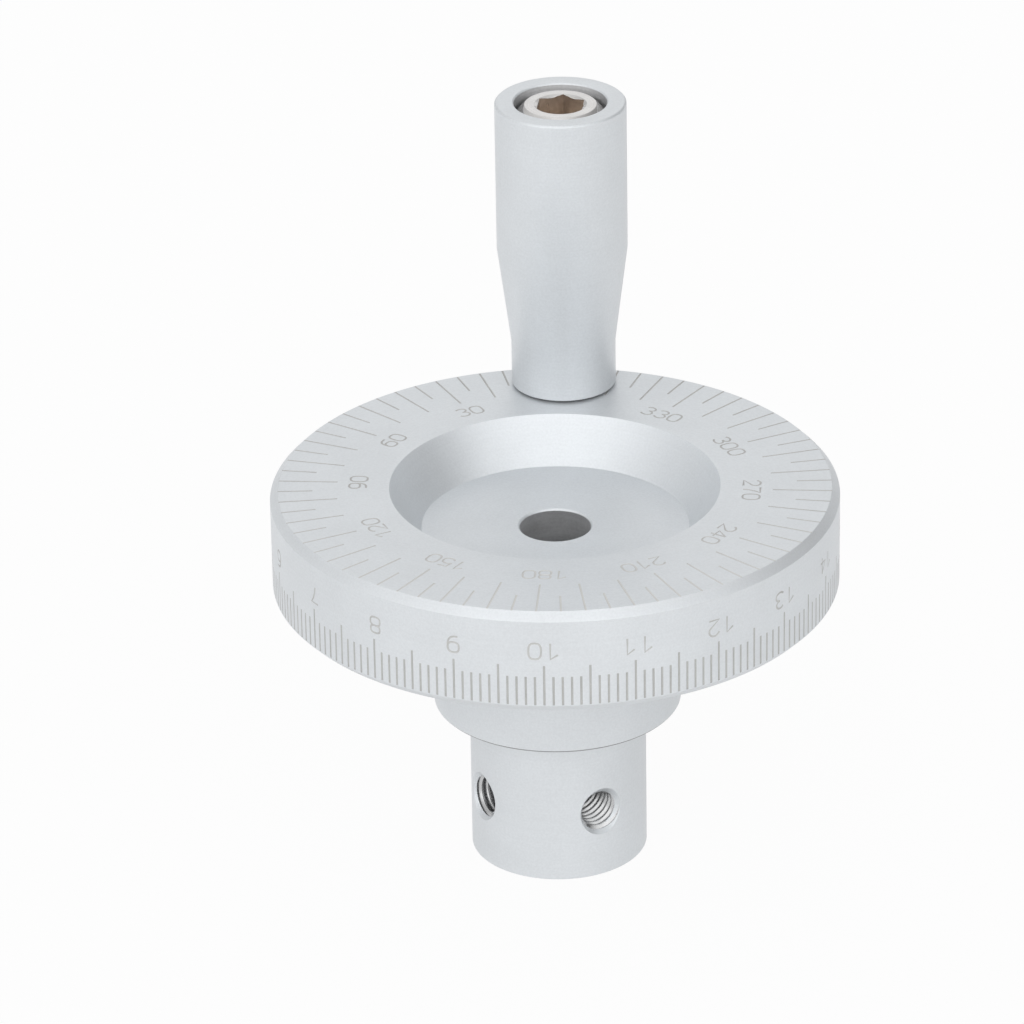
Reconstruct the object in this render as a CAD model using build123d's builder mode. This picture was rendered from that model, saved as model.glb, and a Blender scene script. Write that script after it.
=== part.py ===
from build123d import *
import os
from math import cos, radians, sin, tan

# Machine handwheel with a revolving grip, in millimetres.
# The origin is the centre of the shaft bore at the hub's lower end.
# +Z runs up the bore to the graduated face, and +Y points to the handle.

# Heights above the hub's lower end
face_z = 45.0
grip_top_z = 80.0

# Wheel: rim, boss and hub turned from one bar
wheel_dia = 63.7
rim_thickness = 12.0
rim_top_chamfer = 0.95
rim_bottom_chamfer = 0.6
boss_dia = 28.0
boss_length = 14.4
boss_chamfer = 0.3
hub_dia = 20.0
hub_chamfer = 0.3

# Dished recess in the wheel's face
dish_mouth_dia = 37.0
dish_floor_dia = 30.0
dish_depth = 5.0

# Bore for the machine's shaft
bore_dia = 8.0
bore_chamfer = 0.2

# Tapped holes for the set screws that lock the hub on its shaft, M5 thread
set_thread_dia = 5.0
set_mouth_dia = 5.8
set_mouth_angle = 90.0
set_height = 8.1
set_first_angle = -58.7
set_step_angle = -90.0
set_count = 2

# Cap screw that clamps the handle to the rim, M6 thread and 40 long
handle_inset = 4.65
screw_dia = 6.0
screw_length = 40.0
screw_tip_chamfer = 0.6
thread_gap = 0.05
head_dia = 10.0
head_height = 6.0
head_chamfer = 0.8
head_recess = 0.35
hex_across_flats = 5.0
hex_depth = 3.0
hex_mouth_dia = 6.0
hex_cone_angle = 120.0

# Distance sleeve that the screw clamps to the face, and the grip turns on
sleeve_dia = 8.0
sleeve_bore_gap = 0.1
sleeve_chamfer = 0.2

# Grip: a waisted sleeve with a pocket for the screw's head
grip_dia = 15.0
grip_foot_dia = 12.0
grip_straight_length = 17.8
grip_cone_length = 11.7
grip_top_chamfer = 0.2
grip_foot_chamfer = 0.2
pocket_dia = 10.6
pocket_chamfer = 0.15

# Plain bushes pressed into the ends of the grip's bore
bush_dia = 10.0
bush_length = 8.0
bush_chamfer = 0.25
bush_running_gap = 0.04
bush_inset = 0.3

# Thrust washer under the grip, and the grip's play along its axis
washer_dia = 11.0
washer_thickness = 0.2
washer_bore_gap = 0.1
foot_clearance = 0.05
head_clearance = 0.2

# Places that follow from the sizes above
handle_radius = wheel_dia / 2 - handle_inset
rim_bottom_z = face_z - rim_thickness
boss_bottom_z = rim_bottom_z - boss_length
dish_floor_z = face_z - dish_depth
head_top_z = grip_top_z - head_recess
head_seat_z = head_top_z - head_height
screw_tip_z = head_seat_z - screw_length
grip_foot_z = face_z + washer_thickness + foot_clearance
grip_shoulder_z = grip_top_z - grip_straight_length
grip_waist_z = grip_shoulder_z - grip_cone_length
pocket_floor_z = head_seat_z - head_clearance
lower_bush_z = grip_foot_z + bush_inset
upper_bush_z = pocket_floor_z - bush_length


def handle_plane(height):
    # Level plane on the handle's axis
    return Plane(origin=(0, handle_radius, height))


def set_screw_plane(index):
    # Plane on the hub's skin at a set screw, facing outwards
    angle = radians(set_first_angle + index * set_step_angle)
    outward = Vector(cos(angle), sin(angle), 0)
    return Plane(origin=outward * (hub_dia / 2) + Vector(0, 0, set_height), z_dir=outward)


# Section of the handle, with x as the radius and y as the height
handle_section = Plane(origin=(0, handle_radius, 0), x_dir=(1, 0, 0), z_dir=(0, -1, 0))
handle_axis = Axis((0, handle_radius, 0), (0, 0, 1))

# Wheel body, turned from its half section and then drilled
with BuildPart() as wheel_body:
    with BuildSketch(Plane.XZ):
        with BuildLine():
            Polyline(
                (bore_dia / 2, 0),
                (hub_dia / 2 - hub_chamfer, 0),
                (hub_dia / 2, hub_chamfer),
                (hub_dia / 2, boss_bottom_z),
                (boss_dia / 2 - boss_chamfer, boss_bottom_z),
                (boss_dia / 2, boss_bottom_z + boss_chamfer),
                (boss_dia / 2, rim_bottom_z),
                (wheel_dia / 2 - rim_bottom_chamfer, rim_bottom_z),
                (wheel_dia / 2, rim_bottom_z + rim_bottom_chamfer),
                (wheel_dia / 2, face_z - rim_top_chamfer),
                (wheel_dia / 2 - rim_top_chamfer, face_z),
                (dish_mouth_dia / 2, face_z),
                (dish_floor_dia / 2, dish_floor_z),
                (bore_dia / 2 + bore_chamfer, dish_floor_z),
                (bore_dia / 2, dish_floor_z - bore_chamfer),
                close=True,
            )
        make_face()
    revolve(axis=Axis.Z)
    # Tapped hole through the rim for the handle's screw
    with Locations(handle_plane(face_z)):
        Hole(radius=screw_dia / 2 + thread_gap, depth=rim_thickness)
    # Tapped holes from the hub's skin into the bore, with countersunk mouths
    with Locations(*[set_screw_plane(index) for index in range(set_count)]):
        CounterSinkHole(
            radius=set_thread_dia / 2,
            counter_sink_radius=set_mouth_dia / 2,
            depth=hub_dia / 2,
            counter_sink_angle=set_mouth_angle,
        )

# Thrust washer that the grip's foot turns on
with BuildPart() as thrust_washer:
    with BuildSketch(handle_plane(face_z)):
        Circle(washer_dia / 2)
        Circle(sleeve_dia / 2 + washer_bore_gap, mode=Mode.SUBTRACT)
    extrude(amount=washer_thickness)

# Distance sleeve between the wheel's face and the screw's head
with BuildPart() as distance_sleeve:
    with BuildSketch(handle_plane(face_z)):
        Circle(sleeve_dia / 2)
        Circle(screw_dia / 2 + sleeve_bore_gap, mode=Mode.SUBTRACT)
    extrude(amount=head_seat_z - face_z)
    sleeve_ends = distance_sleeve.faces().filter_by(Axis.Z)
    chamfer([end.outer_wire().edge() for end in sleeve_ends], length=sleeve_chamfer)

# Cap screw: shank and head turned in one, then the socket pressed into the head
with BuildPart() as handle_screw:
    with BuildSketch(handle_section):
        with BuildLine():
            Polyline(
                (0, screw_tip_z),
                (screw_dia / 2 - screw_tip_chamfer, screw_tip_z),
                (screw_dia / 2, screw_tip_z + screw_tip_chamfer),
                (screw_dia / 2, head_seat_z),
                (head_dia / 2, head_seat_z),
                (head_dia / 2, head_top_z - head_chamfer),
                (head_dia / 2 - head_chamfer, head_top_z),
                (0, head_top_z),
                close=True,
            )
        make_face()
    revolve(axis=handle_axis)
    # Hexagonal socket, with a corner towards the handle's side of the rim
    with BuildSketch(handle_plane(head_top_z)):
        RegularPolygon(hex_across_flats / 2, side_count=6, major_radius=False, rotation=30)
    extrude(amount=-hex_depth, mode=Mode.SUBTRACT)
    # Conical floor of the socket and the countersink round its mouth
    cone_slope = tan(radians(hex_cone_angle / 2))
    point_depth = hex_across_flats / 2 / cone_slope
    mouth_depth = hex_mouth_dia / 2 / cone_slope
    with BuildSketch(handle_section):
        with BuildLine():
            Polyline(
                (0, head_top_z - hex_depth),
                (0, head_top_z - hex_depth - point_depth),
                (hex_across_flats / 2, head_top_z - hex_depth),
                close=True,
            )
        make_face()
        with BuildLine():
            Polyline(
                (0, head_top_z),
                (0, head_top_z - mouth_depth),
                (hex_mouth_dia / 2, head_top_z),
                close=True,
            )
        make_face()
    revolve(axis=handle_axis, mode=Mode.SUBTRACT)

# Grip, turned from its half section round the bush bore and the head's pocket
with BuildPart() as handle_grip:
    with BuildSketch(handle_section):
        with BuildLine():
            Polyline(
                (bush_dia / 2, grip_foot_z),
                (grip_foot_dia / 2 - grip_foot_chamfer, grip_foot_z),
                (grip_foot_dia / 2, grip_foot_z + grip_foot_chamfer),
                (grip_foot_dia / 2, grip_waist_z),
                (grip_dia / 2, grip_shoulder_z),
                (grip_dia / 2, grip_top_z - grip_top_chamfer),
                (grip_dia / 2 - grip_top_chamfer, grip_top_z),
                (pocket_dia / 2 + pocket_chamfer, grip_top_z),
                (pocket_dia / 2, grip_top_z - pocket_chamfer),
                (pocket_dia / 2, pocket_floor_z),
                (bush_dia / 2, pocket_floor_z),
                close=True,
            )
        make_face()
    revolve(axis=handle_axis)


def plain_bush(bottom_z):
    # Thin bush pressed into the grip, running on the distance sleeve
    with BuildPart() as bush:
        with BuildSketch(handle_plane(bottom_z)):
            Circle(bush_dia / 2)
            Circle(sleeve_dia / 2 + bush_running_gap, mode=Mode.SUBTRACT)
        extrude(amount=bush_length)
        bush_ends = bush.faces().filter_by(Axis.Z)
        chamfer([end.outer_wire().edge() for end in bush_ends], length=bush_chamfer)
    return bush.part


lower_bush = plain_bush(lower_bush_z)
upper_bush = plain_bush(upper_bush_z)

wheel_body.part.label = "wheel_body"
thrust_washer.part.label = "thrust_washer"
distance_sleeve.part.label = "distance_sleeve"
handle_screw.part.label = "handle_screw"
handle_grip.part.label = "handle_grip"
lower_bush.label = "lower_bush"
upper_bush.label = "upper_bush"

os.makedirs("parts", exist_ok=True)
export_step(wheel_body.part, "parts/wheel_body.step")
export_step(thrust_washer.part, "parts/thrust_washer.step")
export_step(distance_sleeve.part, "parts/distance_sleeve.step")
export_step(handle_screw.part, "parts/handle_screw.step")
export_step(handle_grip.part, "parts/handle_grip.step")
export_step(lower_bush, "parts/lower_bush.step")
export_step(upper_bush, "parts/upper_bush.step")
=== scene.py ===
from math import ceil, copysign, cos, floor, pi, radians, sin, tan

import bmesh
import bpy
from mathutils import Matrix, Vector


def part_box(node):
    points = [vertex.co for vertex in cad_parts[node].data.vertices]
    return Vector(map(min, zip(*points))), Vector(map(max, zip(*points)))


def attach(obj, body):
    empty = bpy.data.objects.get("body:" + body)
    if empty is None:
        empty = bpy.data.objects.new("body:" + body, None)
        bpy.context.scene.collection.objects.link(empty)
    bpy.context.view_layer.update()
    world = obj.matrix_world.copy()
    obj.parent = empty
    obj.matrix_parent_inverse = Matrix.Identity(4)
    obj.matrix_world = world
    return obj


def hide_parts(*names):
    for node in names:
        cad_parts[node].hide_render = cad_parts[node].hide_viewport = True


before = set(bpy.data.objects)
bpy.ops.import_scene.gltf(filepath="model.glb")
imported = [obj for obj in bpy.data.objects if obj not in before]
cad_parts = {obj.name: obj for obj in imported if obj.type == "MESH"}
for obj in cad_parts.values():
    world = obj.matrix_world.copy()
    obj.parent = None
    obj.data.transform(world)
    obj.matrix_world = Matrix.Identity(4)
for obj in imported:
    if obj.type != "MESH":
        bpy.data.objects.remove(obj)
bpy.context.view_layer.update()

mm = 0.001
up = Vector((0, 0, 1))
scene = bpy.context.scene
wheelLow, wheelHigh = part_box("wheel_body")
gripLow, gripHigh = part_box("handle_grip")
screwLow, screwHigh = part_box("handle_screw")
handleAxis = (gripLow + gripHigh) / 2  # the grip turns about this upright line
handleAxis.z = 0


# Camera: where the photograph was taken from, in the part's own frame
camera = {
    "lookAt": (-4.755, -1.549, 42.32),  # mm, on the lens axis
    "distance": 698.51,  # mm
    "azimuth": 3.018,  # degrees to the right of the front
    "elevation": 26.237,
    "roll": -0.988,
    "lens": 219.863,
    "sensor": 36.0,
    "farthest": 20,  # metres
}


def setCamera():
    azimuth, elevation = radians(camera["azimuth"]), radians(camera["elevation"])
    back = Vector((sin(azimuth) * cos(elevation), -cos(azimuth) * cos(elevation), sin(elevation)))
    right = up.cross(back).normalized()
    level = Matrix((right, back.cross(right), back)).transposed()
    turned = level @ Matrix.Rotation(radians(camera["roll"]), 3, "Z")
    data = bpy.data.cameras.new("camera")
    data.lens = camera["lens"]
    data.sensor_width = camera["sensor"]
    data.clip_end = camera["farthest"]
    eye = bpy.data.objects.new("camera", data)
    eye.location = (Vector(camera["lookAt"]) + back * camera["distance"]) * mm
    eye.rotation_euler = turned.to_euler()
    scene.collection.objects.link(eye)
    scene.camera = eye


setCamera()
print("camera set")


# Node helpers
class Tree:
    # A material's or the world's nodes, with short calls to add and join them
    def __init__(self, owner):
        owner.use_nodes = True
        self.nodes = owner.node_tree.nodes
        self.links = owner.node_tree.links

    def add(self, kind, inputs=(), **settings):
        node = self.nodes.new(kind)
        for name, value in settings.items():
            setattr(node, name, value)
        for socket, value in dict(inputs).items():
            self.feed(node, socket, value)
        return node

    def feed(self, node, socket, value):
        if isinstance(value, bpy.types.NodeSocket):
            self.links.new(value, node.inputs[socket])
        else:
            node.inputs[socket].default_value = value

    def math(self, operation, first, second=0.0, third=0.0):
        node = self.add("ShaderNodeMath", {0: first, 1: second, 2: third}, operation=operation)
        return node.outputs[0]

    def noise(self, vector, size, detail=2.0, roughness=0.5):
        # size is the pattern's own, in mm
        return self.add(
            "ShaderNodeTexNoise",
            {"Vector": vector, "Scale": 1 / (size * mm), "Detail": detail, "Roughness": roughness},
        ).outputs["Fac"]

    def blend(self, share, first, second):
        # a colour between two
        node = self.add("ShaderNodeMix", {0: share, 6: first, 7: second}, data_type="RGBA")
        return node.outputs[2]

    def ramp(self, value, low, high, outLow=0.0, outHigh=1.0):
        node = self.add("ShaderNodeMapRange", {0: value, 1: low, 2: high, 3: outLow, 4: outHigh})
        return node.outputs[0]


def scaled(colour, factor):
    return (colour[0] * factor, colour[1] * factor, colour[2] * factor, 1.0)


# Finishes, with the sizes of their patterns in mm
middleOfNoise = (0.3, 0.7)  # most of a noise texture's values lie between these
allOfNoise = (0.25, 0.75)  # and nearly all of them between these
anodised = {
    "colour": (0.67, 0.695, 0.717),
    "metallic": 0.6,  # the blasted, sealed skin scatters part of the light
    "roughness": 0.45,
    "grain": 0.11,  # the blasted grain under the anodising
    "grainDepth": 0.0022,
    "ring": 0.28,  # between turning marks
    "ringDepth": 0.0005,
    "cloud": 7.0,  # slow changes of tone
    "cloudTone": 0.02,
    "ringTone": 0.012,
    "speck": 0.24,  # the fine speckle that blasting leaves
    "speckTone": 0.03,
    "roughSpread": 0.04,
}
bored = {
    "colour": (0.66, 0.665, 0.675),
    "metallic": 0.75,
    "roughness": 0.36,
    "grain": 0.1,
    "grainDepth": 0.001,
    "ring": 0.35,
    "ringDepth": 0.0015,
    "cloud": 2.0,
    "cloudTone": 0.06,
    "ringTone": 0.08,
    "speck": 0.3,
    "speckTone": 0.05,
    "roughSpread": 0.06,
}
steel = {
    "colour": (0.66, 0.65, 0.64),
    "metallic": 1.0,
    "roughness": 0.11,
    "grain": 0.07,
    "grainDepth": 0.0008,
    "ring": 0.12,
    "ringDepth": 0.0007,
    "cloud": 2.0,
    "cloudTone": 0.04,
    "ringTone": 0.04,
    "speck": 0.2,
    "speckTone": 0.03,
    "roughSpread": 0.05,
}
# bare cut metal of the tapped threads; its colour is also darkened as painted shade, standing in for the
# shade deep in the holes
tappedWithShade = {
    "colour": (0.55, 0.555, 0.56),
    "metallic": 1.0,
    "roughness": 0.27,
    "grain": 0.2,
    "grainDepth": 0.001,
    "tone": 0.08,  # how far the mottling goes to either side of the colour
}
oxide = {
    "colour": (0.62, 0.54, 0.47),
    "metallic": 0.95,
    "roughness": 0.33,
    "grain": 0.6,
    "grainDepth": 0.002,
    "tone": 0.2,
}
ink = {
    "metallic": 0.3,
    "roughness": 0.55,
    "grain": 0.15,
    "grainDepth": 0.002,
    "tone": 0.12,
}
lineInk = ink | {"colour": (0.45, 0.45, 0.445)}
numberInk = ink | {"colour": (0.5, 0.5, 0.495)}
faceInk = ink | {
    "colour": (0.45, 0.448, 0.44),
    "paleSpan": (-28, -4),  # along Y: the marks are palest at the first, and plain ink from the second
    "paleTone": 1.36,
}
# painted shade: a dark finish for the boss's lower chamfer, standing in for the shadow and dark reflection
# under the boss
bossEdgeShade = {
    "colour": (0.24, 0.24, 0.245),
    "metallic": 0.2,
    "roughness": 0.6,
    "grain": 0.15,
    "grainDepth": 0.002,
    "tone": 0.2,
}
bronze = {
    "colour": (0.58, 0.42, 0.24),
    "metallic": 1.0,
    "roughness": 0.35,
    "grain": 0.25,
    "grainDepth": 0.002,
    "tone": 0.15,
}
# black plastic of the thrust washer; its black is also a painted shade, giving the dark line of shadow in
# the gap under the grip
blackShimShade = {
    "colour": (0.035, 0.035, 0.037),
    "metallic": 0.0,
    "roughness": 0.5,
    "grain": 0.2,
    "grainDepth": 0.002,
    "tone": 0.2,
}


def turnedMetal(name, look, axis=(0, 0, 0)):
    # Metal turned about the upright line through axis: rings follow radius and height
    material = bpy.data.materials.new(name)
    tree = Tree(material)
    shader = tree.nodes["Principled BSDF"]
    place = tree.add("ShaderNodeTexCoord").outputs["Object"]
    centred = tree.add("ShaderNodeMapping", {"Vector": place, "Location": [-a for a in axis]}).outputs[0]
    split = tree.add("ShaderNodeSeparateXYZ", {0: centred})
    flat = tree.add("ShaderNodeCombineXYZ", {0: split.outputs[0], 1: split.outputs[1]})
    radius = tree.add("ShaderNodeVectorMath", {0: flat.outputs[0]}, operation="LENGTH").outputs["Value"]
    section = tree.add("ShaderNodeCombineXYZ", {0: radius, 1: split.outputs[2]}).outputs[0]
    rings = tree.noise(section, look["ring"], detail=3.0, roughness=0.6)
    grain = tree.noise(centred, look["grain"], detail=1.0)
    cloud = tree.noise(centred, look["cloud"], detail=3.0)
    tone = tree.math("ADD", tree.ramp(rings, *middleOfNoise, -look["ringTone"], look["ringTone"]),
                     tree.ramp(cloud, *middleOfNoise, -look["cloudTone"], look["cloudTone"]))
    speck = tree.noise(centred, look["speck"])
    tone = tree.math("ADD", tone, tree.ramp(speck, *middleOfNoise, -look["speckTone"], look["speckTone"]))
    # half way between half the colour and half as much again is the colour itself
    share = tree.math("ADD", tone, 0.5)
    colour = tree.blend(share, scaled(look["colour"], 0.5), scaled(look["colour"], 1.5))
    tree.feed(shader, "Base Color", colour)
    tree.feed(shader, "Metallic", look["metallic"])
    spread = look["roughSpread"]
    rough = tree.ramp(grain, *allOfNoise, look["roughness"] - spread, look["roughness"] + spread)
    tree.feed(shader, "Roughness", rough)
    ringBump = tree.add("ShaderNodeBump", {"Height": rings, "Distance": look["ringDepth"] * mm})
    grainBump = tree.add(
        "ShaderNodeBump",
        {"Height": grain, "Distance": look["grainDepth"] * mm, "Normal": ringBump.outputs[0]},
    )
    tree.feed(shader, "Normal", grainBump.outputs[0])
    return material


def mottled(name, look):
    # Plain finish with a fine grain: inked marks, oxide, bronze and plastic
    cloudsToGrain = 12
    roughSpread = 0.06
    material = bpy.data.materials.new(name)
    tree = Tree(material)
    shader = tree.nodes["Principled BSDF"]
    place = tree.add("ShaderNodeTexCoord").outputs["Object"]
    grain = tree.noise(place, look["grain"], detail=3.0)
    cloud = tree.noise(place, look["grain"] * cloudsToGrain)
    share = tree.math("MULTIPLY", tree.math("ADD", grain, cloud), 0.5)
    dark, light = scaled(look["colour"], 1 - look["tone"]), scaled(look["colour"], 1 + look["tone"])
    mixed = tree.blend(tree.ramp(share, *middleOfNoise), dark, light)
    # the face marks are paler towards the front, along -Y, and plain ink past the span's second end
    if "paleSpan" in look:
        along = tree.add("ShaderNodeSeparateXYZ", {0: place}).outputs[1]
        pastPale = tree.ramp(along, look["paleSpan"][0] * mm, look["paleSpan"][1] * mm)
        mixed = tree.blend(pastPale, scaled(look["colour"], look["paleTone"]), mixed)
    tree.feed(shader, "Base Color", mixed)
    tree.feed(shader, "Metallic", look["metallic"])
    low, high = look["roughness"] - roughSpread, look["roughness"] + roughSpread
    tree.feed(shader, "Roughness", tree.ramp(grain, *middleOfNoise, low, high))
    bump = tree.add("ShaderNodeBump", {"Height": grain, "Distance": look["grainDepth"] * mm})
    tree.feed(shader, "Normal", bump.outputs[0])
    return material


wheelMetal = turnedMetal("wheelAluminium", anodised)
gripMetal = turnedMetal("gripAluminium", anodised, handleAxis)
screwMetal = turnedMetal("screwSteel", steel, handleAxis)
# threads' own finish, darkened as painted shade for the inside of the holes
cutMetalWithShade = mottled("cutAluminiumWithShade", tappedWithShade)
boreMetal = turnedMetal("boredAluminium", bored)
pocketMetal = turnedMetal("pocketAluminium", bored, handleAxis)
socketMetal = mottled("socketSteel", oxide)
lineMark = mottled("markedLine", lineInk)
numberMark = mottled("markedRim", numberInk)
faceMark = mottled("markedFace", faceInk)
# painted shade for the boss's lower chamfer
paintedBossShade = mottled("paintedBossShade", bossEdgeShade)
sleeveMetal = turnedMetal("sleeveSteel", steel, handleAxis)
bushMetal = mottled("bushBronze", bronze)
# the washer's black also stands in as painted shade for the gap under the grip
washerPlasticShade = mottled("washerPlasticShade", blackShimShade)
print("finishes made")


# Shaping helpers
weld = 0.0001 * mm  # points nearer than this are one
slack = 0.01  # mm, allowed where a face is told by its radius or height
roundSteps = 3  # faces across each tiny round


def newPiece(name, bm, materials=()):
    # Turns a bmesh into an object at the origin
    mesh = bpy.data.meshes.new(name)
    bm.to_mesh(mesh)
    bm.free()
    for material in materials:
        mesh.materials.append(material)
    piece = bpy.data.objects.new(name, mesh)
    scene.collection.objects.link(piece)
    return piece


def tidy(bm):
    bmesh.ops.remove_doubles(bm, verts=bm.verts, dist=weld)
    bmesh.ops.recalc_face_normals(bm, faces=bm.faces)


def turn(outline, steps, axis=Vector((0, 0, 0)), closed=True):
    # Spins an outline of (radius, height) points, in mm, about the upright line through axis
    bm = bmesh.new()
    line = [bm.verts.new(axis + Vector((radius, 0, height)) * mm) for radius, height in outline]
    pairs = list(zip(line, line[1:] + line[:1])) if closed else list(zip(line, line[1:]))
    edges = [bm.edges.new(pair) for pair in pairs]
    bmesh.ops.spin(bm, geom=line + edges, cent=axis, axis=up, angle=2 * pi, steps=steps, use_merge=True)
    tidy(bm)
    return bm


def softenRings(bm, width, sharperThan=20):
    # Breaks the sharp turned edges with a tiny round
    rings = [e for e in bm.edges if e.is_manifold and e.calc_face_angle() > radians(sharperThan)]
    bmesh.ops.bevel(bm, geom=rings, offset=width * mm, offset_type="OFFSET", segments=roundSteps,
                    profile=0.5, affect="EDGES", material=-1)


def threadedRod(pitch, major, low, high, steps=64, materialIndex=0):
    # Solid thread on the origin's upright line, from height low to high, in mm, its roots rounded
    crest = pitch / 8
    flank = pitch * 5 / 16
    slope = tan(radians(30))  # half of the thread's 60 degrees
    minor = major - flank / slope
    soft = pitch * 0.07  # the rounding starts this far from each corner of the root
    rise = soft / slope
    near = 0.001 * mm
    profile = (  # radius, and height above the turn's own bottom
        (major, 0),
        (major, crest),
        (minor + rise, crest + flank - soft),
        (minor, crest + flank + soft),
        (minor, pitch - flank - soft),
        (minor + rise, pitch - flank + soft),
    )
    bm = bmesh.new()
    line = []
    for turnNumber in range(floor(low / pitch) - 1, ceil(high / pitch) + 1):
        for radius, height in profile:
            line.append(bm.verts.new(Vector((radius, 0, turnNumber * pitch + height)) * mm))
    edges = [bm.edges.new(pair) for pair in zip(line, line[1:])]
    bmesh.ops.spin(bm, geom=line + edges, cent=(0, 0, 0), axis=up, angle=2 * pi, steps=steps,
                   dvec=up * (pitch * mm / steps), use_merge=False)
    bmesh.ops.remove_doubles(bm, verts=bm.verts, dist=near)
    for height, outward in ((low, -up), (high, up)):
        everything = bm.verts[:] + bm.edges[:] + bm.faces[:]
        bmesh.ops.bisect_plane(bm, geom=everything, plane_co=up * height * mm, plane_no=outward,
                               clear_outer=True, dist=weld)
        rims = [e for e in bm.edges if e.is_boundary]
        ends = [e for e in rims if all(abs(v.co.z - height * mm) < near for v in e.verts)]
        bmesh.ops.holes_fill(bm, edges=ends, sides=0)
    tidy(bm)
    for face in bm.faces:
        face.material_index = materialIndex
    return bm


def carve(piece, bm, operation="DIFFERENCE"):
    # Cuts or joins another solid, then keeps only the result
    tool = newPiece("tool", bm)
    modifier = piece.modifiers.new("carve", "BOOLEAN")
    modifier.object = tool
    modifier.operation = operation
    modifier.solver = "MANIFOLD"
    result = bpy.data.meshes.new_from_object(piece.evaluated_get(bpy.context.evaluated_depsgraph_get()))
    piece.modifiers.clear()
    spare = [piece.data, tool.data]
    piece.data = result
    bpy.data.objects.remove(tool)
    for mesh in spare:
        bpy.data.meshes.remove(mesh)


def shade(piece, sharpAngle=38):
    # Smooth shading that stays true on flats and breaks at real edges
    for polygon in piece.data.polygons:
        polygon.use_smooth = True
    piece.data.set_sharp_from_angle(angle=radians(sharpAngle))
    modifier = piece.modifiers.new("flatsFirst", "WEIGHTED_NORMAL")
    modifier.keep_sharp = True


# Wheel: one turned piece, drilled and tapped, with its sizes in mm
wheelFinishes = {
    "turned": wheelMetal,
    "tappedWithShade": cutMetalWithShade,
    "bore": boreMetal,
    "line": lineMark,
    "face": faceMark,
    "number": numberMark,
    "bossEdgeShade": paintedBossShade,
}
wheelSlots = {name: index for index, name in enumerate(wheelFinishes)}
wheel = {
    "rimRadius": wheelHigh.x / mm - 0.012,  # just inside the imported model's facets
    "faceHeight": wheelHigh.z / mm,
    "rimThickness": 12.0,
    "topChamfer": 0.9,
    "bottomChamfer": 0.9,
    "bossRadius": 14.0,
    "bossLength": 14.5,
    "bossChamfer": 0.2,
    "hubRadius": 10.0,
    "hubChamfer": 0.1,
    "dishMouth": 18.5,
    "dishFloor": 15.0,
    "dishDepth": 5.0,
    "boreRadius": 4.0,
    "boreChamfer": 0.2,
    "edgeRound": 0.05,
    "steps": 360,
}
setHoles = {
    "angles": (-58.7, -148.7),  # degrees about the bore
    "height": 8.1,
    "major": 2.5,
    "pitch": 0.8,
    "mouthRadius": 2.9,
    "from": 2.0,  # from the bore's axis, inside the bore
    "to": 13.0,
    "steps": 96,
}
rimThread = {
    "pitch": 1.0,
    "major": 3.05,
    "clearance": 0.07,
    "below": 14,  # the tap's reach below the face and above it
    "above": 1,
}


def wheelOutline():
    w = wheel
    face, rim = w["faceHeight"], w["rimRadius"]
    rimBottom = face - w["rimThickness"]
    bossBottom = rimBottom - w["bossLength"]
    floorHeight = face - w["dishDepth"]
    return [
        (w["boreRadius"], 0),
        (w["hubRadius"] - w["hubChamfer"], 0),
        (w["hubRadius"], w["hubChamfer"]),
        (w["hubRadius"], bossBottom),
        (w["bossRadius"] - w["bossChamfer"], bossBottom),
        (w["bossRadius"], bossBottom + w["bossChamfer"]),
        (w["bossRadius"], rimBottom),
        (rim - w["bottomChamfer"], rimBottom),
        (rim, rimBottom + w["bottomChamfer"]),
        (rim, face - w["topChamfer"]),
        (rim - w["topChamfer"], face),
        (w["dishMouth"], face),
        (w["dishFloor"], floorHeight),
        (w["boreRadius"] + w["boreChamfer"], floorHeight),
        (w["boreRadius"], floorHeight - w["boreChamfer"]),
    ]


# Scales: engraved lines and plain numbers, cut by a round nosed tool
grooveSides = 10
loopPoints = 16
numeral = {
    "height": 1.92,  # mm, along the middle of the stroke
    "stroke": 0.23,
    "depth": 0.05,
    "roundness": 2,  # steps in the stroke's section, as the curve counts them
}
faceScale = {
    "centre": (0, -0.3),  # the scale was engraved a little off the wheel's own axis
    "zero": 88.5,  # degrees about the bore from +X
    "step": 5,
    "longEvery": 10,
    "outer": 31.1,
    "long": 24.35,
    "short": 27.05,
    "width": 0.22,
    "depth": 0.04,
    "labelRadius": 22.0,
    "advance": 1.75,
    "labels": range(30, 331, 30),
    # mm clockwise of their own lines
    "drift": {120: -0.4, 150: -0.6, 180: -0.4, 210: 0.1, 240: 0.4, 270: 0.15},
}
rimScale = {
    "zero": 90.0,
    "divisions": 200,
    "longEvery": 5,
    "foot": 34.03,
    "short": 37.46,
    "long": 38.8,
    "width": 0.25,
    "depth": 0.06,
    "labelHeight": 40.56,
    "advance": 1.97,
    "labels": range(20),
    # mm anticlockwise of their own lines
    "drift": {6: 0.2, 7: 0.2, 8: 0.2, 11: 0.35, 12: 0.4, 13: 0.2},
}


def arc(centreX, centreY, radiusX, radiusY, start, stop, steps=14, square=1.0):
    # Points along an ellipse between two angles in degrees, squarer as square falls below 1
    points = []
    for step in range(steps + 1):
        angle = radians(start + (stop - start) * step / steps)
        across, along = cos(angle), sin(angle)
        points.append((centreX + radiusX * copysign(abs(across) ** square, across),
                       centreY + radiusY * copysign(abs(along) ** square, along)))
    return points


def loop(centreY, radiusX, radiusY, square=0.8):
    # None closes the stroke
    lastAngle = 360 - 360 / loopPoints
    return arc(0, centreY, radiusX, radiusY, 0, lastAngle, loopPoints - 1, square) + [None]


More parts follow.
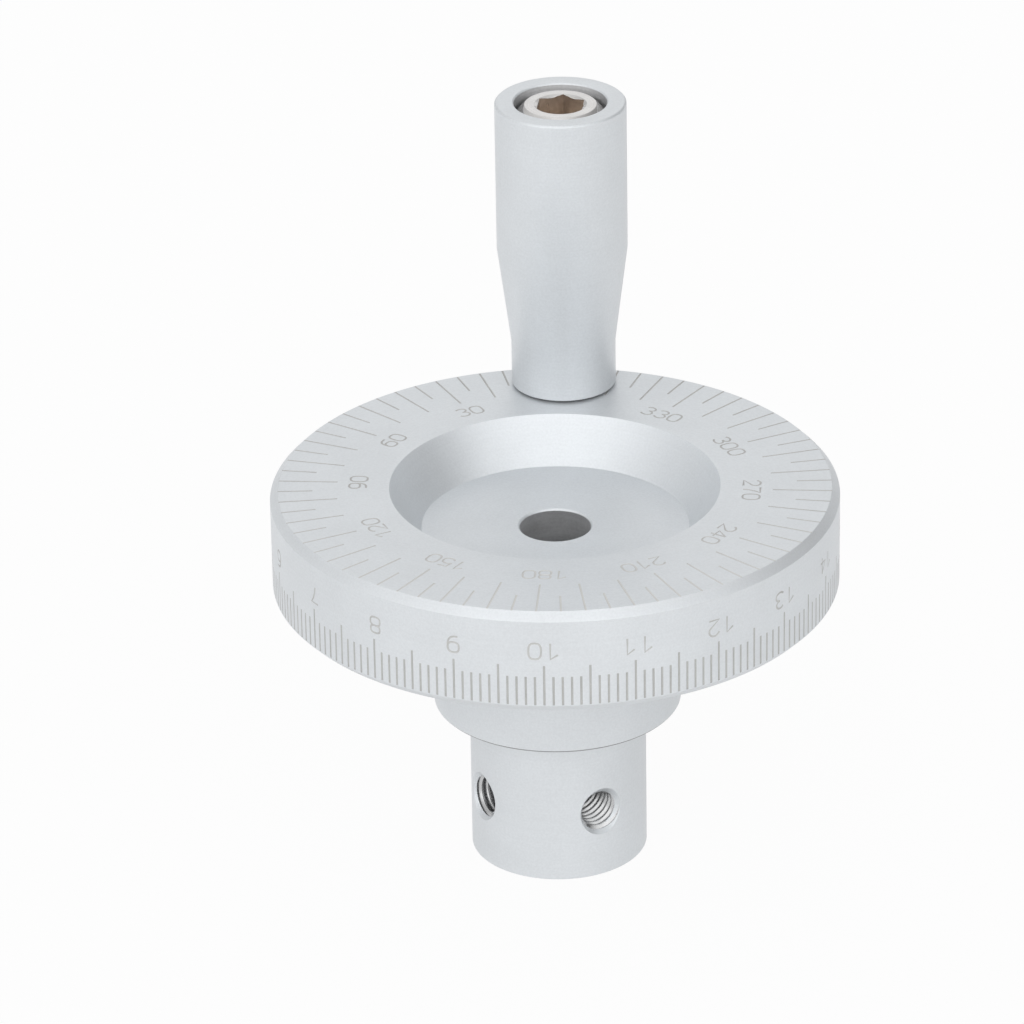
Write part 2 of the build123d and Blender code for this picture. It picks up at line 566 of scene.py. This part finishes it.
# Each digit's strokes in units of its height, about the middle of its foot; they are cut one after the other
digits = {
    "0": [loop(0.5, 0.36, 0.5, 0.72)],
    "1": [[(-0.27, 0.72), (0.15, 1), (0.15, 0)]],
    "2": [arc(0, 0.69, 0.34, 0.31, 165, -38) + [(-0.34, 0), (0.35, 0)]],
    "3": [arc(0, 0.765, 0.31, 0.235, 150, -90), arc(0, 0.265, 0.35, 0.265, 90, -150)],
    "4": [[(0.13, 1), (-0.36, 0.3), (0.36, 0.3)], [(0.13, 1), (0.13, 0)]],
    "5": [[(0.31, 1), (-0.24, 1), (-0.29, 0.5)], arc(0, 0.325, 0.35, 0.325, 147, -150)],
    "6": [loop(0.32, 0.34, 0.32), arc(0.17, 0.36, 0.51, 0.64, 180, 84, square=0.75)],
    "7": [[(-0.33, 1), (0.34, 1), (0.14, 0.7), (0.0, 0.36), (-0.06, 0)]],
    "8": [loop(0.765, 0.33, 0.235, 0.7), loop(0.27, 0.345, 0.27, 0.7)],
    "9": [loop(0.68, 0.34, 0.32), arc(-0.17, 0.64, 0.51, 0.64, 0, -96, square=0.75)],
}
mostStrokes = max(len(strokes) for strokes in digits.values())


def grooveTool(bm, place, length, width, depth):
    # A round nosed bar along its own X, half of it below the surface
    size = Matrix.Diagonal((depth * mm, width / 2 * mm, length * mm, 1))
    bmesh.ops.create_cone(bm, cap_ends=True, segments=grooveSides, radius1=1, radius2=1, depth=1,
                          matrix=place @ Matrix.Rotation(pi / 2, 4, "Y") @ size)


def numberTool(bm, text, advance, cut, move):
    # The strokes of one cut of a number, centred on the origin in the XY plane and then moved into place
    flatten = Matrix.Diagonal((1, 1, numeral["depth"] / (numeral["stroke"] / 2), 1))
    curve = bpy.data.curves.new("number", "CURVE")
    curve.dimensions = "3D"
    curve.bevel_depth = numeral["stroke"] / 2 * mm
    curve.bevel_resolution = numeral["roundness"]
    curve.use_fill_caps = True
    height = numeral["height"]
    for index, digit in enumerate(text):
        if cut >= len(digits[digit]):
            continue
        stroke = list(digits[digit][cut])
        closed = stroke[-1] is None
        stroke = stroke[:-1] if closed else stroke
        middle = (index - (len(text) - 1) / 2) * advance
        spline = curve.splines.new("POLY")
        spline.points.add(len(stroke) - 1)
        spline.use_cyclic_u = closed
        for point, (x, y) in zip(spline.points, stroke):
            point.co = ((middle + x * height) * mm, (y - 0.5) * height * mm, 0, 1)
    if curve.splines:
        holder = bpy.data.objects.new("number", curve)
        scene.collection.objects.link(holder)
        evaluated = holder.evaluated_get(bpy.context.evaluated_depsgraph_get())
        mesh = bpy.data.meshes.new_from_object(evaluated)
        mesh.transform(flatten)
        move(mesh)
        bm.from_mesh(mesh)
        bpy.data.objects.remove(holder)
        bpy.data.meshes.remove(mesh)
    bpy.data.curves.remove(curve)


def faceTools(bm, cut):
    f = faceScale
    middle = Matrix.Translation(Vector((*f["centre"], wheel["faceHeight"])) * mm)
    lines = range(0, 360, f["step"]) if cut == 0 else ()
    for degree in lines:
        inner = f["long"] if degree % f["longEvery"] == 0 else f["short"]
        turned = Matrix.Rotation(radians(f["zero"] + degree), 4, "Z")
        outward = Matrix.Translation(((f["outer"] + inner) / 2 * mm, 0, 0))
        grooveTool(bm, middle @ (turned @ outward), f["outer"] - inner, f["width"], f["depth"])
    for label in f["labels"]:
        # digit tops point away from the bore
        turned = Matrix.Rotation(radians(f["zero"] + label - 90), 4, "Z")
        outward = Matrix.Translation(Vector((f["drift"].get(label, 0), f["labelRadius"], 0)) * mm)
        place = middle @ (turned @ outward)
        numberTool(bm, str(label), f["advance"], cut, lambda mesh: mesh.transform(place))


def wrap(mesh, angle, height):
    # Bends a flat, upside down number round the rim
    for vertex in mesh.vertices:
        along, across, lift = vertex.co
        around = angle - along / (wheel["rimRadius"] * mm)
        radius = wheel["rimRadius"] * mm + lift
        vertex.co = (radius * cos(around), radius * sin(around), height * mm - across)


def rimTools(bm, cut):
    r = rimScale
    lines = range(r["divisions"]) if cut == 0 else ()
    for line in lines:
        top = r["long"] if line % r["longEvery"] == 0 else r["short"]
        turned = Matrix.Rotation(radians(r["zero"] + line * 360 / r["divisions"]), 4, "Z")
        middle = Vector((wheel["rimRadius"], 0, (top + r["foot"]) / 2)) * mm
        upright = turned @ Matrix.Translation(middle) @ Matrix.Rotation(-pi / 2, 4, "Y")
        grooveTool(bm, upright, top - r["foot"], r["width"], r["depth"])
    for label in r["labels"]:
        angle = radians(r["zero"] + label * 360 / len(r["labels"]))
        angle += r["drift"].get(label, 0) / wheel["rimRadius"]
        numberTool(bm, str(label), r["advance"], cut, lambda mesh: wrap(mesh, angle, r["labelHeight"]))


def engrave(piece):
    # Cuts both scales, each digit's strokes one after the other
    for cut in range(mostStrokes):
        bm = bmesh.new()
        rimTools(bm, cut)
        faceTools(bm, cut)
        bmesh.ops.remove_doubles(bm, verts=bm.verts, dist=weld)
        for face in bm.faces:
            height = face.calc_center_median().z / mm
            onRim = height < wheel["faceHeight"] - wheel["topChamfer"]
            mark = "line" if height < rimScale["long"] else "number" if onRim else "face"
            face.material_index = wheelSlots[mark]
        carve(piece, bm)


def onBossEdge(face):
    # the small chamfer round the boss's lower edge, which takes a painted shade: a dark band standing in for
    # the shadow and dark reflection under the boss
    bossBottom = wheel["faceHeight"] - wheel["rimThickness"] - wheel["bossLength"]
    centre = face.calc_center_median() / mm
    outside = centre.xy.length > wheel["bossRadius"] - wheel["bossChamfer"] - slack
    return outside and bossBottom - slack < centre.z < bossBottom + wheel["bossChamfer"] + slack


def makeWheel():
    bm = turn(wheelOutline(), wheel["steps"])
    softenRings(bm, wheel["edgeRound"])
    for face in bm.faces:
        inBore = max(vert.co.xy.length for vert in face.verts) < (wheel["boreRadius"] + slack) * mm
        # the boss's lower chamfer takes the painted shade
        finish = "bore" if inBore else "bossEdgeShade" if onBossEdge(face) else "turned"
        face.material_index = wheelSlots[finish]
    piece = newPiece("wheel", bm, wheelFinishes.values())
    engrave(piece)
    print("scales engraved")
    # tapped hole through the rim for the handle's screw
    low, high = wheel["faceHeight"] - rimThread["below"], wheel["faceHeight"] + rimThread["above"]
    rod = threadedRod(rimThread["pitch"], rimThread["major"], low, high, materialIndex=wheelSlots["tappedWithShade"])
    bmesh.ops.translate(rod, vec=handleAxis, verts=rod.verts)
    carve(piece, rod)
    # tapped set screw holes with countersunk mouths
    h = setHoles
    skin, mouth, reach = wheel["hubRadius"], h["mouthRadius"], h["to"] - wheel["hubRadius"]
    for angle in h["angles"]:
        outward = Vector((cos(radians(angle)), sin(radians(angle)), 0))
        facing = outward.to_track_quat("Z", "Y").to_matrix().to_4x4()
        place = Matrix.Translation(up * h["height"] * mm) @ facing
        rod = threadedRod(h["pitch"], h["major"], h["from"], h["to"], materialIndex=wheelSlots["tappedWithShade"])
        rod.transform(place)
        carve(piece, rod)
        outline = [(0, skin - mouth), (mouth + reach, skin + reach), (0, skin + reach)]
        cone = turn(outline, h["steps"], closed=False)
        cone.transform(place)
        carve(piece, cone)
    shade(piece)
    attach(piece, "wheel")
    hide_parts("wheel_body")


makeWheel()
print("wheel turned and tapped")


# Grip: a waisted sleeve with a pocket for the screw's head, with its sizes in mm
grip = {
    "foot": gripLow.z / mm,
    "top": gripHigh.z / mm,
    "radius": 7.498,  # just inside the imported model's facets
    "footRadius": 6.0,
    "straight": 17.8,
    "cone": 11.7,
    "topChamfer": 0.2,
    "footChamfer": 0.1,
    "pocketRadius": 5.3,
    "pocketChamfer": 0.15,
    "pocketFloor": 73.45,
    "bushBore": 5.0,
    "edgeRound": 0.05,
    "steps": 288,
}


def makeGrip():
    g = grip
    shoulder = g["top"] - g["straight"]
    outline = [
        (g["bushBore"], g["foot"]),
        (g["footRadius"] - g["footChamfer"], g["foot"]),
        (g["footRadius"], g["foot"] + g["footChamfer"]),
        (g["footRadius"], shoulder - g["cone"]),
        (g["radius"], shoulder),
        (g["radius"], g["top"] - g["topChamfer"]),
        (g["radius"] - g["topChamfer"], g["top"]),
        (g["pocketRadius"] + g["pocketChamfer"], g["top"]),
        (g["pocketRadius"], g["top"] - g["pocketChamfer"]),
        (g["pocketRadius"], g["pocketFloor"]),
        (g["bushBore"], g["pocketFloor"]),
    ]
    bm = turn(outline, g["steps"], handleAxis)
    softenRings(bm, g["edgeRound"])
    for face in bm.faces:
        # the bored pocket is duller than the outside and takes the second finish
        reach = max((vert.co - handleAxis).xy.length for vert in face.verts)
        face.material_index = 1 if reach < (g["pocketRadius"] + slack) * mm else 0
    piece = newPiece("grip", bm, (gripMetal, pocketMetal))
    shade(piece)
    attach(piece, "grip")
    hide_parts("handle_grip")


makeGrip()
print("grip turned")


# Cap screw: head with a hexagonal socket, plain shank and a rolled thread, with its sizes in mm
screw = {
    "tip": screwLow.z / mm,
    "top": screwHigh.z / mm,
    "headHeight": 6.0,
    "headRadius": 5.0,
    "headChamfer": 0.9,
    "shankRadius": 2.9,
    "threadLength": 24.0,
    "tipChamfer": 0.6,
    "acrossFlats": 5.1,
    "socketDepth": 3.0,
    "socketTurn": -4,  # degrees
    "mouthRadius": 3.0,
    "lipRadius": 2.64,  # the mouth's shallow lip ends here
    "lipSlope": 22,  # degrees
    "mouthSlope": 48,
    "coneAngle": 120,
    "edgeRound": 0.06,
    "sharpAngle": 19,  # degrees, so that the mouth's shallow lip keeps its edge
    "overlap": 0.5,  # how far joined shapes go into each other
    "spare": 1,  # how far the tools go past the metal
    "steps": 192,
    "toolSteps": 96,
}


def makeScrew():
    s = screw
    seat = s["top"] - s["headHeight"]
    threadEnd = s["tip"] + s["threadLength"]
    major = rimThread["major"] - rimThread["clearance"]
    head = turn(
        [
            (0, threadEnd - s["overlap"]),
            (s["shankRadius"], threadEnd - s["overlap"]),
            (s["shankRadius"], seat),
            (s["headRadius"], seat),
            (s["headRadius"], s["top"] - s["headChamfer"]),
            (s["headRadius"] - s["headChamfer"], s["top"]),
            (0, s["top"]),
        ],
        s["steps"],
        closed=False,
    )
    softenRings(head, s["edgeRound"])
    piece = newPiece("capScrew", head, (screwMetal, socketMetal))
    # thread, with its end chamfered by an envelope
    thread = newPiece("thread", threadedRod(rimThread["pitch"], major, s["tip"], threadEnd))
    wide = major + s["spare"]
    envelope = turn(
        [
            (0, s["tip"]),
            (major - s["tipChamfer"], s["tip"]),
            (wide, s["tip"] + s["tipChamfer"] + s["spare"]),
            (wide, threadEnd + s["spare"]),
            (0, threadEnd + s["spare"]),
        ],
        s["toolSteps"],
        closed=False,
    )
    carve(thread, envelope, "INTERSECT")
    whole = bmesh.new()
    whole.from_mesh(thread.data)
    bpy.data.objects.remove(thread)
    carve(piece, whole, "UNION")
    # socket: hexagon, conical floor and countersunk mouth
    flats = s["acrossFlats"] / 2
    corner = flats / cos(radians(30)) * mm
    place = Matrix.Translation(up * s["top"] * mm) @ Matrix.Rotation(radians(s["socketTurn"]), 4, "Z")
    hexagon = bmesh.new()
    bmesh.ops.create_cone(hexagon, cap_ends=True, segments=6, radius1=corner, radius2=corner,
                          depth=2 * s["socketDepth"] * mm, matrix=place)
    bottom = s["top"] - s["socketDepth"]
    point = bottom - flats / tan(radians(s["coneAngle"] / 2))
    deep = turn([(0, point), (flats, bottom), (0, bottom + s["overlap"])], s["toolSteps"], closed=False)
    lipDepth = (s["mouthRadius"] - s["lipRadius"]) * tan(radians(s["lipSlope"]))
    mouthDepth = lipDepth + s["lipRadius"] * tan(radians(s["mouthSlope"]))
    mouth = turn(
        [
            (0, s["top"] - mouthDepth),
            (s["lipRadius"], s["top"] - lipDepth),
            (s["mouthRadius"], s["top"]),
            (s["mouthRadius"], s["top"] + s["spare"]),
            (0, s["top"] + s["spare"]),
        ],
        s["toolSteps"],
        closed=False,
    )
    bright, oxidised = 0, 1
    for tool, finish in ((hexagon, oxidised), (deep, oxidised), (mouth, bright)):
        for face in tool.faces:
            face.material_index = finish
        carve(piece, tool)
    piece.data.transform(Matrix.Translation(handleAxis))
    shade(piece, s["sharpAngle"])
    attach(piece, "wheel")
    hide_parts("handle_screw")


makeScrew()
print("screw made")


# Inner pieces keep their own solids and get their finishes
for node, finish in (
    ("distance_sleeve", sleeveMetal),
    ("lower_bush", bushMetal),
    ("upper_bush", bushMetal),
    ("thrust_washer", washerPlasticShade),
):
    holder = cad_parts[node]
    holder.data.materials.clear()
    holder.data.materials.append(finish)
print("inner pieces finished")


# Studio: a pale floor that reads as white, soft walls of light and three softboxes
studio = {
    "floorSize": 6.0,  # metres
    "floorDrop": 0.02,  # mm below the hub, so that the two don't meet
    "floorColour": (0.62, 0.62, 0.62, 1),
    "seenWhite": 0.955,  # share of plain white where the floor is seen, not only lights the part
    "walls": {"left": 0.7, "front": 2.6, "behind": 0.51, "above": 0.98},  # light, fading between the sides
    "backdropTop": (0.08, 0.16),  # the white backdrop fades out between these sines of height
    "glossTop": 1.5,  # the most that gloss sees of the walls; with more, the face is white from behind
    "boxDistance": 1.4,  # metres
    "boxSize": 0.8,
    "boxAim": 0.04,  # height of the point that the softboxes face
}
# Each wall's axis, and which way along it the wall stands
wallSides = {"left": (0, -1), "front": (1, -1), "behind": (1, 1), "above": (2, 1)}
softboxes = {
    "left": {"azimuth": -70, "elevation": 35, "radiance": 0.05},  # degrees from the front, to the right
    "right": {"azimuth": 70, "elevation": 35, "radiance": 0.55},
    "behind": {"azimuth": 180, "elevation": 30, "radiance": 0.43},
}


def seenRays(tree):
    # 1 for the rays that show the white background: the camera's, and those of gloss and of clear things
    path = tree.add("ShaderNodeLightPath").outputs
    shown = tree.math("MAXIMUM", path["Is Camera Ray"], path["Is Glossy Ray"])
    return tree.math("MAXIMUM", shown, path["Is Transmission Ray"])


def makeFloor():
    bm = bmesh.new()
    bmesh.ops.create_grid(bm, x_segments=1, y_segments=1, size=studio["floorSize"] / 2)
    bmesh.ops.translate(bm, vec=(0, 0, -studio["floorDrop"] * mm), verts=bm.verts)
    material = bpy.data.materials.new("floor")
    tree = Tree(material)
    out = tree.nodes["Material Output"]
    tree.nodes.remove(tree.nodes["Principled BSDF"])
    paint = tree.add("ShaderNodeBsdfDiffuse", {"Color": studio["floorColour"]}).outputs[0]
    white = tree.add("ShaderNodeEmission", {"Color": (1, 1, 1, 1), "Strength": 1.0}).outputs[0]
    share = tree.math("MULTIPLY", seenRays(tree), studio["seenWhite"])
    seen = tree.add("ShaderNodeMixShader", {0: share, 1: paint, 2: white}).outputs[0]
    # from below the floor is clear, so that the part's underside can be looked at
    clear = tree.add("ShaderNodeBsdfTransparent").outputs[0]
    under = tree.add("ShaderNodeNewGeometry").outputs["Backfacing"]
    tree.feed(out, "Surface", tree.add("ShaderNodeMixShader", {0: under, 1: seen, 2: clear}).outputs[0])
    piece = newPiece("floor", bm, (material,))


def makeSurround():
    world = bpy.data.worlds.new("surround")
    scene.world = world
    tree = Tree(world)
    out = tree.nodes["Background"]
    place = tree.add("ShaderNodeTexCoord").outputs["Generated"]
    direction = tree.add("ShaderNodeSeparateXYZ", {0: place}).outputs
    total = 0.0
    for side, level in studio["walls"].items():
        axis, sign = wallSides[side]
        facing = tree.math("MAXIMUM", tree.math("MULTIPLY", direction[axis], sign), 0.0)
        total = tree.math("MULTIPLY_ADD", tree.math("MULTIPLY", facing, facing), level, total)
    glossy = tree.add("ShaderNodeLightPath").outputs["Is Glossy Ray"]
    excess = tree.math("MAXIMUM", tree.math("SUBTRACT", total, studio["glossTop"]), 0.0)
    total = tree.math("SUBTRACT", total, tree.math("MULTIPLY", glossy, excess))
    backdrop = tree.ramp(direction[2], *studio["backdropTop"], 1.0, 0.0)
    strength = tree.math("MAXIMUM", total, tree.math("MULTIPLY", seenRays(tree), backdrop))
    tree.feed(out, "Color", (1, 1, 1, 1))
    tree.feed(out, "Strength", strength)


def makeSoftbox(name, facts):
    azimuth, elevation = radians(facts["azimuth"]), radians(facts["elevation"])
    toBox = Vector((sin(azimuth) * cos(elevation), -cos(azimuth) * cos(elevation), sin(elevation)))
    data = bpy.data.lights.new(name, "AREA")
    data.shape = "SQUARE"
    data.size = studio["boxSize"]
    data.energy = facts["radiance"] * pi * studio["boxSize"] ** 2  # watts
    lamp = bpy.data.objects.new(name, data)
    lamp.location = toBox * studio["boxDistance"]
    aim = up * studio["boxAim"] - lamp.location
    lamp.rotation_euler = aim.to_track_quat("-Z", "Y").to_euler()
    scene.collection.objects.link(lamp)


makeFloor()
makeSurround()
for boxName, boxFacts in softboxes.items():
    makeSoftbox(boxName, boxFacts)
scene.view_settings.view_transform = "Standard"
print("studio set")

bpy.context.view_layer.update()
